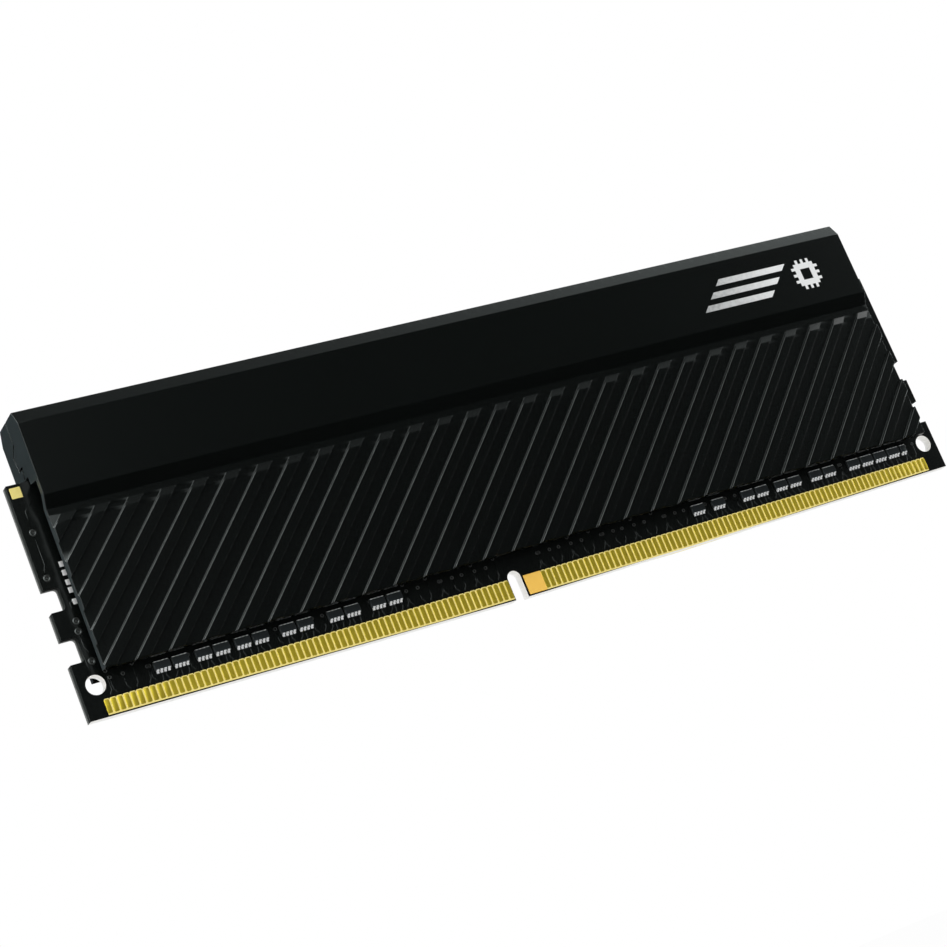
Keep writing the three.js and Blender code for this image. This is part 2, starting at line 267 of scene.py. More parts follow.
def anodised_black():
    """Fine-blasted aluminium in a black anodised coat, lighter on the sharp edges: partly the coat rubbed
    thin, partly a painted highlight along the ribs' left crests.
    """
    material, tree, bsdf = shader("anodised_black")
    cloud = noise(tree, 60.0, 3.0)
    grain = noise(tree, 9000.0, 2.0)
    coat = mix_colour(tree, cloud, (0.0016, 0.0023, 0.0021, 1), (0.0022, 0.0031, 0.0028, 1))
    rub = spread(tree, noise(tree, 900.0, 3.0), 0.35, 0.6, 0.6, 1.0)
    lightening = maths(tree, "MULTIPLY", wear_and_highlight_of(tree), rub)
    # Painted highlight and rubbed edges: sharp edges are lightened towards this grey, the ribs' left crests
    # most.
    colour = mix_colour(tree, lightening, coat, (0.085, 0.088, 0.087, 1))
    rough = spread(tree, grain, 0.3, 0.7, 0.19, 0.25)
    feed(tree, bsdf, Base_Color=colour, Roughness=rough, Metallic=0.0, IOR=1.45)
    bump(tree, bsdf, grain, 0.10, 0.00003)
    return material


def solder_mask(name, dark, light):
    """Black solder mask, thin enough for the weave below it to show faintly."""
    material, tree, bsdf = shader(name)
    cloud = noise(tree, 900.0, 3.0)
    across = noise(tree, 2200.0, 1.0, (1, 1, 0.1))
    along = noise(tree, 2200.0, 1.0, (0.1, 1, 1))
    weave = maths(tree, "MULTIPLY", across, along)
    rough = spread(tree, noise(tree, 3000.0, 2.0), 0.3, 0.7, 0.17, 0.23)
    feed(tree, bsdf, Base_Color=mix_colour(tree, cloud, dark, light), Roughness=rough, IOR=1.42)
    bump(tree, bsdf, weave, 0.2, 0.000003)
    return material


def laminate(name, front, rear, contrast):
    """The cut edge of the card: glass fibres in layers, with a darker line at each copper layer."""
    material, tree, bsdf = shader(name)
    place = add_node(tree, "ShaderNodeSeparateXYZ", None, {0: object_place(tree)})
    across = spread(tree, place.outputs["Y"], -0.2 * MM, 0.5 * MM)
    depth = maths(tree, "MULTIPLY", place.outputs["Y"], 1.0 / (0.2 * MM))
    layer = maths(tree, "PINGPONG", maths(tree, "ADD", depth, 50.0), 0.5)
    line = spread(tree, layer, 0.02, 0.10, contrast, 0.0)
    fibre = maths(tree, "MULTIPLY", noise(tree, 6000.0, 3.0, (0.2, 1, 0.2)), contrast)
    share = maths(tree, "SUBTRACT", across, maths(tree, "ADD", line, fibre))
    feed(tree, bsdf, Base_Color=mix_colour(tree, share, front, rear), Roughness=0.7, IOR=1.5)
    bump(tree, bsdf, noise(tree, 9000.0, 2.0), 0.3, 0.00002)
    return material


def gold(name, dark, light, rough, metallic):
    """Gold finish with faint brush and tarnish variation."""
    material, tree, bsdf = shader(name)
    colour = mix_colour(tree, noise(tree, 1500.0, 3.0), dark, light)
    roughness = spread(tree, noise(tree, 5000.0, 2.0), 0.3, 0.7, rough - 0.05, rough + 0.05)
    feed(tree, bsdf, Base_Color=colour, Roughness=roughness, Metallic=metallic)
    bump(tree, bsdf, noise(tree, 4000.0, 2.0, (1, 1, 0.15)), 0.15, 0.00001)
    return material


def plain(name, dark, light, rough, metallic=0.0, scale=2500.0, depth=0.00001):
    """A moulded, fired or printed surface with fine mottling."""
    material, tree, bsdf = shader(name)
    speck = noise(tree, scale, 3.0)
    feed(tree, bsdf, Base_Color=mix_colour(tree, speck, dark, light), Roughness=rough, Metallic=metallic)
    bump(tree, bsdf, speck, 0.2, depth)
    return material


def silver_print():
    """Metallic print with painted shading: darker at its left end, lighter towards the right end of the
    band.
    """
    material, tree, bsdf = shader("silver_print")
    place = add_node(tree, "ShaderNodeSeparateXYZ", None, {0: object_place(tree)})
    # Painted shading and highlight: the colour runs from dark at X = 36 mm to light from X = 50 mm on.
    along = spread(tree, place.outputs["X"], 36 * MM, 50 * MM)
    dots = spread(tree, noise(tree, 2600.0, 1.0), 0.4, 0.6, -0.12, 0.12)
    share = maths(tree, "ADD", along, maths(tree, "MULTIPLY", dots, maths(tree, "SUBTRACT", 1.2, along)))
    colour = mix_colour(tree, share, (0.36, 0.37, 0.37, 1), (0.84, 0.85, 0.85, 1))
    feed(tree, bsdf, Base_Color=colour, Roughness=0.38, Metallic=0.1)
    bump(tree, bsdf, noise(tree, 5000.0, 2.0), 0.2, 0.00001)
    return material


ANODISED = anodised_black()
CUT_END = plain("cut_end", (0.024, 0.032, 0.034, 1), (0.040, 0.051, 0.054, 1), 0.3, scale=1200.0)
SOLDER_MASK = solder_mask("solder_mask", (0.0024, 0.0030, 0.0028, 1), (0.0046, 0.0056, 0.0052, 1))
TRACE_MASK = solder_mask("solder_mask_over_copper", (0.0036, 0.0045, 0.0042, 1), (0.0065, 0.0080, 0.0074, 1))
ROUTED_EDGE = laminate("routed_edge", (0.012, 0.013, 0.012, 1), (0.26, 0.27, 0.26, 1), 0.35)
BARE_LAMINATE = laminate("bare_laminate", (0.90, 0.89, 0.86, 1), (0.98, 0.98, 0.97, 1), 0.25)
PAD_GOLD = gold("contact_gold", (0.66, 0.49, 0.03, 1), (0.82, 0.62, 0.06, 1), 0.35, 0.8)
# Pale gold: the corner pad's own colour, and on the strip under the fingers a painted highlight for their
# edges.
PALE_GOLD_AND_HIGHLIGHT = gold("pale_gold_and_highlight", (0.93, 0.76, 0.20, 1), (0.99, 0.85, 0.31, 1), 0.4, 0.1)
WIDE_GOLD = gold("wide_gold", (0.97, 0.56, 0.08, 1), (1.0, 0.61, 0.11, 1), 0.45, 0.1)
VIA_RING = plain("via_ring", (0.020, 0.022, 0.021, 1), (0.050, 0.052, 0.050, 1), 0.35, 0.3)
SUBSTRATE = plain("chip_substrate", (0.010, 0.030, 0.018, 1), (0.020, 0.050, 0.030, 1), 0.5)
EPOXY = plain("chip_epoxy", (0.010, 0.011, 0.012, 1), (0.022, 0.023, 0.024, 1), 0.6)
CERAMIC = plain("array_ceramic", (0.006, 0.008, 0.009, 1), (0.018, 0.023, 0.025, 1), 0.28, scale=6000.0)
SOLDER = plain("solder", (0.74, 0.76, 0.77, 1), (0.94, 0.95, 0.96, 1), 0.3, 0.2)
THERMAL = plain("thermal_pad", (0.20, 0.22, 0.24, 1), (0.30, 0.32, 0.34, 1), 0.9, depth=0.00005)
SILVER = silver_print()
WHITE_SOLDER = plain("white_solder", (0.92, 0.93, 0.92, 1), (1.0, 1.0, 1.0, 1), 0.3, 0.05)


# ---------------------------------------------------------------- mesh helpers

def keep_flats_flat(piece):
    weights = piece.modifiers.new("flat faces stay flat", "WEIGHTED_NORMAL")
    weights.weight = FLAT_WEIGHT


def make_piece(bm, name, materials, replaced=(), turned=False):
    """Turns a finished mesh, in millimetres, into a piece that rides on the module."""
    bmesh.ops.recalc_face_normals(bm, faces=bm.faces)
    turn = Matrix.Rotation(math.pi, 4, "Z") if turned else Matrix.Identity(4)
    bm.transform(Matrix.Scale(MM, 4) @ turn)
    mesh = bpy.data.meshes.new(name)
    bm.to_mesh(mesh)
    bm.free()
    for material in materials:
        mesh.materials.append(material)
    mesh.shade_smooth()
    piece = bpy.data.objects.new(name, mesh)
    bpy.context.scene.collection.objects.link(piece)
    keep_flats_flat(piece)
    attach(piece, "root")
    if replaced:
        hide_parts(*replaced)
    return piece


def skin(bm, rings, material=0):
    """Joins rings of equal length into a closed form with a flat face on each end."""
    loops = [[bm.verts.new(point) for point in ring] for ring in rings]
    faces = [bm.faces.new(loops[0]), bm.faces.new(list(reversed(loops[-1])))]
    count = len(loops[0])
    for low, high in zip(loops, loops[1:]):
        for index in range(count):
            after = (index + 1) % count
            faces.append(bm.faces.new((low[index], low[after], high[after], high[index])))
    for face in faces:
        face.material_index = material


def corner_arc(centre, radius, start, steps):
    for step in range(steps + 1):
        angle = math.radians(start + 90.0 * step / steps)
        yield (centre[0] + radius * math.cos(angle), centre[1] + radius * math.sin(angle))


def rounded_rectangle(left, right, low, high, radius, steps=3):
    corners = [(right - radius, high - radius, 0), (left + radius, high - radius, 90),
               (left + radius, low + radius, 180), (right - radius, low + radius, 270)]
    for x, z, start in corners:
        yield from corner_arc((x, z), radius, start, steps)


def tablet(bm, box, depths, radius=0.05, rounding=0.03, material=0, steps=3):
    """A flat body with rounded corners and a rounded outer rim, lying on the card's front.

    box is (left, right, low, high); depths are from the card's middle plane, inner then outer.
    """
    left, right, low, high = box
    inner, outer = depths
    levels = [(inner, 0.0), (outer - rounding, 0.0)]
    for angle in (30, 60, 90):
        turn = math.radians(angle)
        levels.append((outer - rounding * (1 - math.sin(turn)), rounding * (1 - math.cos(turn))))
    rings = []
    for depth, inset in levels:
        around = rounded_rectangle(left + inset, right - inset, low + inset, high - inset,
                                   max(radius - inset, 0.002), steps)
        rings.append([(x, -depth, z) for x, z in around])
    skin(bm, rings, material)


def ribbon(bm, path, width, depths, material=0):
    """A flat closed strip along a path of (x, z) points."""
    rings = []
    for index, (x, z) in enumerate(path):
        before = Vector(path[max(index - 1, 0)])
        after = Vector(path[min(index + 1, len(path) - 1)])
        along = (after - before).normalized()
        side = Vector((-along.y, along.x)) * width / 2
        inner, outer = depths
        rings.append([(x + side.x, -inner, z + side.y), (x - side.x, -inner, z - side.y),
                      (x - side.x * 0.6, -outer, z - side.y * 0.6),
                      (x + side.x * 0.6, -outer, z + side.y * 0.6)])
    skin(bm, rings, material)


def ring_pad(bm, centre, outer_radius, inner_radius, depths, material=0, count=24):
    """A flat ring, such as the land round a via."""
    inner, outer = depths
    x, z = centre
    loops = []
    for radius, depth in ((outer_radius, inner), (outer_radius, outer), (inner_radius, outer),
                          (inner_radius, inner)):
        angles = [2 * math.pi * index / count for index in range(count)]
        loops.append([bm.verts.new((x + radius * math.cos(a), -depth, z + radius * math.sin(a)))
                      for a in angles])
    for low, high in zip(loops, loops[1:] + loops[:1]):
        for index in range(count):
            after = (index + 1) % count
            face = bm.faces.new((low[index], low[after], high[after], high[index]))
            face.material_index = material


def edge_height(x):
    """Height of the card's bottom edge at a place along it."""
    if x < KNEE_LEFT:
        return END_RISE * (KNEE_LEFT - x) / (HALF_LENGTH + KNEE_LEFT)
    if x > KNEE_RIGHT:
        return END_RISE * (x - KNEE_RIGHT) / (HALF_LENGTH - KNEE_RIGHT)
    return 0.0


# ---------------------------------------------------------------- heat spreader

def rounded_outline(corners, steps=4):
    """Rounds the corners (y, z, radius) of an outline, as a list of (y, z)."""
    points = []
    count = len(corners)
    for index, (y, z, radius) in enumerate(corners):
        here = Vector((y, z))
        before = Vector(corners[index - 1][:2]) - here
        after = Vector(corners[(index + 1) % count][:2]) - here
        if radius == 0:
            points.append((y, z))
            continue
        half = before.angle(after) / 2
        reach = radius / math.tan(half)
        start = here + before.normalized() * reach
        end = here + after.normalized() * reach
        centre = here + (before.normalized() + after.normalized()).normalized() * radius / math.sin(half)
        first = start - centre
        turn = first.angle_signed(end - centre)
        for step in range(steps + 1):
            share = step / steps
            spoke = first.copy()
            spoke.rotate(Matrix.Rotation(-turn * share, 2))
            points.append((centre.x + spoke.x, centre.y + spoke.y))
    return points


def seam_corners(side):
    """The hooked line along which the two shells meet, above the card."""
    gap = 0.0 if side == "front" else SEAM_GAP
    sign = 1 if side == "front" else -1
    points = [(0.3 + gap, 31.65), (-0.3 + 2 * gap, 33.3 - gap), (1.1 + gap, 33.3 - gap),
              (1.5 + gap, 35.3), (-0.1 + gap, 36.2 + gap)]
    path = [(sign * y, z, 0.06) for y, z in points]
    return path + [(sign * (-0.1 + gap), SPREADER_TOP, 0.12)]


def shell_outline(side):
    """A shell's end profile, from the panel's foot up the inside, over the top and down the band."""
    corners = [
        (-PANEL_FACE, SPREADER_BOTTOM, 0.12),
        (-PANEL_FACE + SHEET, SPREADER_BOTTOM, 0.08),
        (-PANEL_FACE + SHEET, STEP_BOTTOM + 0.25, 0.2),
        (-BAND_FACE + SHEET, STEP_TOP + 0.25, 0.2),
        (-BAND_FACE + SHEET, 30.3, 0.1),
        (-0.95, 30.6, 0.08),
        (-0.95, 31.65, 0.08),
        *seam_corners(side),
        (-3.0, SPREADER_TOP, 0.14),
        (-BAND_FACE, BAND_TOP, 0.16),
        (-BAND_FACE, STEP_TOP, 0.18),
        (-PANEL_FACE, STEP_BOTTOM, 0.2),
    ]
    return rounded_outline(corners)


def soft_floor(value, soft):
    """The larger of value and 0, with a rounded corner."""
    if value < -soft:
        return 0.0
    if value > soft:
        return value
    return (value + soft) ** 2 / (4 * soft)


def ramp_share(z):
    """How far the ribs stand out at a height, from 0 at the top of their ramps to 1."""
    rise = (RAMP_TOP - z) / (RAMP_TOP - RAMP_BOTTOM)
    return 1 - soft_floor(1 - soft_floor(rise, RAMP_SOFT), RAMP_SOFT)


def rib_half_section():
    """Half of a rib's section from its left foot to its crest, as (place, height, lightening for a rubbed
    edge and a painted highlight).
    """
    points = []
    for angle in (0, 35, 65, 90):
        turn = math.radians(angle)
        points.append((RIB_FOOT * (math.sin(turn) - 1), RIB_FOOT * (1 - math.cos(turn)), 0.0))
    for angle in (0, 25, 45, 65, 90):
        turn = math.radians(angle)
        place = RIB_DRAFT + RIB_CREST * (1 - math.cos(turn))
        points.append((place, RIB_HEIGHT - RIB_CREST * (1 - math.sin(turn)), math.sin(2 * turn)))
    return points


def rib_columns():
    """Lines along the ribs, as (place on X where the line meets Z = 0, height, lightening). The lightening
    is for rubbed edges and, on the left crests, a painted highlight.
    """
    half = rib_half_section()
    stretch = math.sqrt(2)
    columns = [(RIB_FIRST_X - 3, 0.0, 0.0)]
    for index in range(RIB_COUNT):
        left = RIB_FIRST_X + index * RIB_PITCH_X
        right = left + RIB_WIDTH_X
        columns += [(left + place * stretch, height, wear_and_highlight) for place, height, wear_and_highlight in half]
        # Painted highlight: the right crests get only a share of the left crests' lightening.
        columns += [(right - place * stretch, height, RIGHT_CREST_LIGHTENING * wear_and_highlight)
                    for place, height, wear_and_highlight in reversed(half)]
    columns.append((columns[-1][0] + 3, 0.0, 0.0))
    return columns


def panel_heights():
    """Heights of the rows across the ribbed panel, closer together round the ramps."""
    offsets = (0.16, 0.08, 0.04, 0.0, -0.04, -0.08, -0.16)
    rows = [RAMP_TOP + offset for offset in offsets] + [25.15, 24.85]
    rows += [RAMP_BOTTOM + offset for offset in offsets]
    return rows + [21.0, 17.0, 13.0, 9.0]


def shell_rows(side):
    """Rows along the spreader, as (y, z, share of the rib height)."""
    outline = shell_outline(side)
    rows = []
    for index, (y, z) in enumerate(outline):
        rows.append((y, z, 1.0 if index < 5 else 0.0))
    rows += [(-PANEL_FACE, z, ramp_share(z)) for z in panel_heights()]
    return rows


def lean(z):
    """How far a row's points shift along X, so that the columns follow the ribs on the panel."""
    return min(max(z, SPREADER_BOTTOM), STEP_BOTTOM)


def round_ends(bm):
    """Cuts the shell to its length and rounds the rims of both ends."""
    wear_and_highlight = bm.verts.layers.float["wear_and_highlight"]
    insets = []
    for angle in (0, 30, 60, 90):
        turn = math.radians(angle)
        insets.append((SPREADER_END - END_ROUNDING * (1 - math.sin(turn)),
                       END_ROUNDING * (1 - math.cos(turn)), math.sin(2 * turn)))
    for end in (-1, 1):
        for place, _, _ in insets:
            geometry = bm.verts[:] + bm.edges[:] + bm.faces[:]
            bmesh.ops.bisect_plane(bm, geom=geometry, dist=1e-5, plane_co=(end * place, 0, 0),
                                   plane_no=(end, 0, 0), clear_outer=place == SPREADER_END)
    bm.normal_update()
    moves = []
    for vert in bm.verts:
        for place, inset, lightening in insets:
            if abs(abs(vert.co.x) - place) < 1e-4:
                flat = Vector((0, vert.normal.y, vert.normal.z)).normalized()
                moves.append((vert, -inset * flat, lightening))
    for vert, move, lightening in moves:
        vert.co += move
        vert[wear_and_highlight] = max(vert[wear_and_highlight], 0.5 * lightening)
    rims = [edge for edge in bm.edges if edge.is_boundary]
    for face in bmesh.ops.holes_fill(bm, edges=rims, sides=0)["faces"]:
        face.material_index = 1


def shell_mesh(side):
    bm = bmesh.new()
    wear_and_highlight = bm.verts.layers.float.new("wear_and_highlight")
    rows = shell_rows(side)
    columns = rib_columns()
    grid = []
    for y, z, share in rows:
        line = []
        for start, height, lightening in columns:
            out = min(height, share * RIB_HEIGHT)
            vert = bm.verts.new((start + lean(z), y - out, z))
            vert[wear_and_highlight] = lightening * share ** RAMP_LIGHTENING_FADE
            line.append(vert)
        grid.append(line)
    for low, high in zip(grid, grid[1:] + grid[:1]):
        for index in range(len(columns) - 1):
            bm.faces.new((low[index], low[index + 1], high[index + 1], high[index]))
    bmesh.ops.recalc_face_normals(bm, faces=bm.faces)
    round_ends(bm)
    return bm


def add_spreader(side):
    make_piece(shell_mesh(side), side + "_spreader_shell", [ANODISED, CUT_END],
               [side + "_heat_spreader"], turned=side == "rear")


# ---------------------------------------------------------------- contacts

def flip_for(bm, side):
    """Moves a mesh drawn for the front onto the rear face, at the same places along X."""
    if side == "rear":
        bm.transform(Matrix.Diagonal((1, -1, 1, 1)))


def scalloped_top(first, count):
    """The upper side of a row's bright strip, with a rounded shoulder round each finger, from right to left.
    The strip is a painted highlight for the fingers' edges.
    """
    gap = (CONTACT_PITCH - CONTACT_WIDTH) / 2
    points = []
    for index in reversed(range(count)):
        left = first + index * CONTACT_PITCH
        right = left + CONTACT_WIDTH + (gap if index < count - 1 else 0)
        left -= gap if index > 0 else 0
        arc = list(corner_arc((right - SHOULDER, CONTACT_TOP - SHOULDER), SHOULDER, 0, 3))
        arc += list(corner_arc((left + SHOULDER, CONTACT_TOP - SHOULDER), SHOULDER, 90, 3))
        points += arc if index == count - 1 else arc[1:]
    return points


def highlight_strip(bm, first, count):
    """The bright strip that the fingers stand on, following the card's edge: a painted highlight that shows
    as bright lines between the fingers and along their ends.
    """
    right = first + (count - 1) * CONTACT_PITCH + CONTACT_WIDTH
    knees = [knee for knee in (KNEE_LEFT, KNEE_RIGHT) if first < knee < right]
    outline = [(x, edge_height(x) + STRIP_MARGIN) for x in sorted([first, right, *knees])]
    outline += scalloped_top(first, count)
    rings = [[(x, -depth, z) for x, z in outline] for depth in (CARD_FACE, STRIP_OUT)]
    skin(bm, rings, 1)


def finger(bm, left):
    low = edge_height(left + CONTACT_WIDTH / 2) + FINGER_MARGIN
    box = (left - OVERHANG, left + CONTACT_WIDTH + OVERHANG, low, FINGER_TOP)
    tablet(bm, box, (FINGER_IN, FINGER_OUT), FINGER_RADIUS, 0.03)


def add_contacts(side):
    for word, (first, count) in (("left", LEFT_ROW), ("right", RIGHT_ROW)):
        bm = bmesh.new()
        highlight_strip(bm, first, count)
        for index in range(count):
            finger(bm, first + index * CONTACT_PITCH)
        flip_for(bm, side)
        make_piece(bm, side + "_gold_fingers_" + word, [PAD_GOLD, PALE_GOLD_AND_HIGHLIGHT],
                   [side + "_contacts_" + word])


def add_wide_contact(side):
    bm = bmesh.new()
    left = KEY_CENTRE + KEY_WIDTH / 2 + WIDE_GAP
    box = (left, RIGHT_ROW[0] - OVERHANG, STRIP_MARGIN, CONTACT_TOP)
    tablet(bm, box, (CARD_FACE, FINGER_OUT), 0.08, 0.04)
    flip_for(bm, side)
    make_piece(bm, side + "_wide_contact_pad", [WIDE_GOLD], [side + "_wide_contact"])


# ---------------------------------------------------------------- resistor arrays

def terminal(bm, x, edge, outwards, foot, wrap):
    """A terminal that wraps over a body's edge and runs down to the card in a solder fillet.

    outwards is -1 below the body and 1 above it; foot is how far the solder spreads on the card.
    """
    profile = [(-wrap, 0.34), (-wrap, 0.39), (0.01, 0.39), (0.04, 0.36), (0.05, 0.20),
               (0.05 + foot * 0.3, 0.12), (0.05 + foot, 0.05), (0.05 + foot, 0.0), (-wrap, 0.0)]
    rings = []
    for place in (x - TERMINAL_WIDTH / 2, x + TERMINAL_WIDTH / 2):
        rings.append([(place, -(CARD_FACE + depth), edge + outwards * reach) for reach, depth in profile])
    skin(bm, rings, 1)


def resistor_array(bm, left, width, terminals):
    """A glazed body with terminals along its lower and upper edges."""
    low = ARRAY_Z - ARRAY_HALF
    high = ARRAY_Z + ARRAY_HALF
    body = (CARD_FACE + 0.05, CARD_FACE + 0.36)
    tablet(bm, (left, left + width, low, high), body, 0.05, 0.05)
    start = left + width / 2 - (terminals - 1) * TERMINAL_PITCH / 2
    for index in range(terminals):
        x = start + index * TERMINAL_PITCH
        terminal(bm, x, low, -1, 0.26, 0.12)
        terminal(bm, x, high, 1, 0.05, 0.03)


def bank_layout(centre, count, terminals):
    """The width of a bank's arrays, and the left side of each."""
    width = ARRAY_WIDTH if terminals == 4 else NARROW_WIDTH
    length = (count - 1) * ARRAY_PITCH + width
    return width, [centre - length / 2 + item * ARRAY_PITCH for item in range(count)]


def add_resistor_banks(side):
    for index, bank in enumerate(BANKS):
        bm = bmesh.new()
        width, lefts = bank_layout(*bank)
        for left in lefts:
            resistor_array(bm, left, width, bank[2])
        flip_for(bm, side)
        make_piece(bm, "%s_arrays_%d" % (side, index + 1), [CERAMIC, SOLDER],
                   ["%s_resistor_bank_%d" % (side, index + 1)])


# ---------------------------------------------------------------- chips under the spreader

def solder_balls(bm, centre):
    """Columns of balls between a chip and the card."""
    for column in BALL_COLUMNS:
        for row in range(BALL_ROWS):
            x = centre + column
            z = CHIP_LOW + 1.2 + row * BALL_PITCH
            box = (x - BALL_HALF, x + BALL_HALF, z - BALL_HALF, z + BALL_HALF)
            tablet(bm, box, (CARD_FACE, CARD_FACE + CHIP_LIFT), 0.2, 0.08, 1, 1)


def add_chips(side):
    for index in range(CHIP_COUNT):
        bm = bmesh.new()
        centre = (index - (CHIP_COUNT - 1) / 2) * CHIP_PITCH
        left = centre - CHIP_WIDTH / 2
        right = centre + CHIP_WIDTH / 2
        substrate = CARD_FACE + CHIP_LIFT
        tablet(bm, (left, right, CHIP_LOW, CHIP_LOW + CHIP_HEIGHT),
               (substrate, substrate + SUBSTRATE_DEPTH), 0.05, 0.02, 2)
        tablet(bm, (left + 0.06, right - 0.06, CHIP_LOW + 0.06, CHIP_LOW + CHIP_HEIGHT - 0.06),
               (substrate + SUBSTRATE_DEPTH, CARD_FACE + CHIP_DEPTH), 0.12, 0.08, 0)
        solder_balls(bm, centre)
        flip_for(bm, side)
        make_piece(bm, "%s_chip_package_%d" % (side, index + 1), [EPOXY, SOLDER, SUBSTRATE],
                   ["%s_memory_chip_%d" % (side, index + 1)])


def add_thermal_pad(side):
    bm = bmesh.new()
    half = (CHIP_COUNT - 1) / 2 * CHIP_PITCH + CHIP_WIDTH / 2 + 3
    depths = (CARD_FACE + CHIP_DEPTH, PANEL_FACE - SHEET)
    tablet(bm, (-half, half, CHIP_LOW - 0.5, CHIP_LOW + CHIP_HEIGHT + 0.5), depths, 0.4, 0.12)
    flip_for(bm, side)
    make_piece(bm, side + "_thermal_sheet", [THERMAL], [side + "_thermal_pad"])


def add_settings_chip():
    """A small leadless package with terminals along its lower and upper sides."""
    bm = bmesh.new()
    tablet(bm, (-1.5, 1.5, 23.62, 25.38), (CARD_FACE + 0.02, CARD_FACE + 0.6), 0.08, 0.06)
    for index in range(5):
        x = (index - 2) * 0.5
        for low in (23.5, 25.2):
            tablet(bm, (x - 0.12, x + 0.12, low, low + 0.3), (CARD_FACE, CARD_FACE + 0.2), 0.04, 0.03, 1, 1)
    make_piece(bm, "settings_chip_package", [EPOXY, SOLDER], ["settings_memory_chip"])


# ---------------------------------------------------------------- card

def in_cut(centre):
    """Whether a point on the card's edge, in metres, lies in a hole, the key slot or the foot."""
    x = centre.x / MM
    z = centre.z / MM
    in_hole = math.hypot(abs(x) - HOLE_X, z - HOLE_Z) < 1.6
    in_key = abs(x - KEY_CENTRE) < 1.2 and z < 4
    return in_hole or in_key or z < 0.72


def add_card():
    """The card with its edges eased, copied from the CAD outline."""
    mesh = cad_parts["circuit_board"].data.copy()
    mesh.materials.clear()
    for material in (SOLDER_MASK, ROUTED_EDGE, BARE_LAMINATE):
        mesh.materials.append(material)
    for face in mesh.polygons:
        if abs(face.normal.y) < 0.5:
            face.material_index = 2 if in_cut(face.center) else 1
    mesh.shade_smooth()
    piece = bpy.data.objects.new("card", mesh)
    bpy.context.scene.collection.objects.link(piece)
    weld = piece.modifiers.new("weld", "WELD")
    weld.merge_threshold = 0.000001
    flatten = piece.modifiers.new("one face per flat", "DECIMATE")
    flatten.decimate_type = "DISSOLVE"
    flatten.angle_limit = math.radians(1.0)
    flatten.delimit = {"MATERIAL"}
    easing = piece.modifiers.new("eased edges", "BEVEL")
    easing.width = EDGE_EASING * MM
    easing.segments = 2
    easing.limit_method = "ANGLE"
    easing.angle_limit = math.radians(50)
    keep_flats_flat(piece)
    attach(piece, "root")
    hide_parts("circuit_board")


def array_places():
    """Places along X of every array terminal."""
    places = []
    for bank in BANKS:
        width, lefts = bank_layout(*bank)
        for left in lefts:
            for index in range(bank[2]):
                from_middle = (index - (bank[2] - 1) / 2) * TERMINAL_PITCH
                places.append(left + width / 2 + from_middle)
    return places


def finger_traces(bm):
    """Tracks from the fingers up to the arrays, or between them to vias below the spreader."""
    terminals = array_places()
    low = CONTACT_TOP - 0.05
    land = (CARD_FACE - SINK, CARD_FACE + 0.035)
    lefts = []
    for first, count in (LEFT_ROW, RIGHT_ROW):
        lefts += [first + index * CONTACT_PITCH for index in range(count)]
    for index, left in enumerate(lefts):
        x = left + CONTACT_WIDTH / 2
        near = min(terminals, key=lambda place: abs(place - x))
        if abs(near - x) < 0.45:
            foot = ARRAY_Z - ARRAY_HALF - 0.2
            path = [(x, low), (x, low + 0.25), (near, low + 0.7), (near, foot)]
            ribbon(bm, path, TRACE_WIDTH, TRACE_DEPTHS)
        elif index % 3:
            shift = 0.3 if index % 2 else -0.3
            top = 5.0 + 0.9 * (index % 4 == 1)
            path = [(x, low), (x, low + 0.5), (x + shift, low + 0.9), (x + shift, top)]
            ribbon(bm, path, TRACE_WIDTH, TRACE_DEPTHS)
            ring_pad(bm, (x + shift, top + 0.22), SMALL_VIA_RADIUS, 0.11, land, 1, 16)


def strip_details(bm, side):
    """Vias and tracks on the strip of card beside the spreader."""
    vias = LEFT_VIAS if side == "front" else [(-x, z) for x, z in LEFT_VIAS]
    for x, z in vias:
        ring_pad(bm, (x, z), VIA_RADIUS, 0.2, (CARD_FACE - SINK, CARD_FACE + 0.04), 1)
        ring_pad(bm, (x, z), 0.14, 0.04, (CARD_FACE - SINK, CARD_FACE + 0.02), 1)
    (x0, z0), (x1, z1), (x2, z2), (x3, z3), (x4, z4) = vias
    paths = (
        [(x0, z0 - VIA_RADIUS), (x0, 20.6), (x1, 19.9), (x1, z1 + VIA_RADIUS)],
        [(x0, z0 + VIA_RADIUS), (x0, 27.6), (x0 + math.copysign(1.2, -x0), 28.6)],
        [(x3, z3 - VIA_RADIUS), (x3, 9.6), (x4, 9.0), (x4, z4 + VIA_RADIUS)],
        [(x2, z2 + VIA_RADIUS), (x2, 15.2), (x2 + math.copysign(0.5, -x2), 15.8)],
    )
    for path in paths:
        ribbon(bm, path, TRACE_WIDTH, TRACE_DEPTHS)


def add_card_details(side):
    bm = bmesh.new()
    finger_traces(bm)
    strip_details(bm, side)
    flip_for(bm, side)
    make_piece(bm, side + "_tracks_and_vias", [TRACE_MASK, VIA_RING])


def add_left_pads():
    """Small bare solder pads in a column, half under the spreader's edge."""
    bm = bmesh.new()
    for z in LEFT_PADS:
        box = (-SPREADER_END, -63.18, z - 0.36, z + 0.36)
        tablet(bm, box, (CARD_FACE - SINK, CARD_FACE + PAD_HEIGHT), 0.06, 0.04)
    make_piece(bm, "left_solder_pads", [WHITE_SOLDER])


def add_test_pad():
    bm = bmesh.new()
    x = -HALF_LENGTH + 0.95
    z = CARD_TOP - 1.1
    box = (x - 0.7, x + 0.7, z - 0.7, z + 0.7)
    tablet(bm, box, (CARD_FACE, CARD_FACE + PAD_HEIGHT), 0.08, 0.03)
    make_piece(bm, "corner_gold_pad", [PALE_GOLD_AND_HIGHLIGHT], ["corner_test_pad"])


def paint(node, material):
    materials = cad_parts[node].data.materials
    materials.clear()
    materials.append(material)


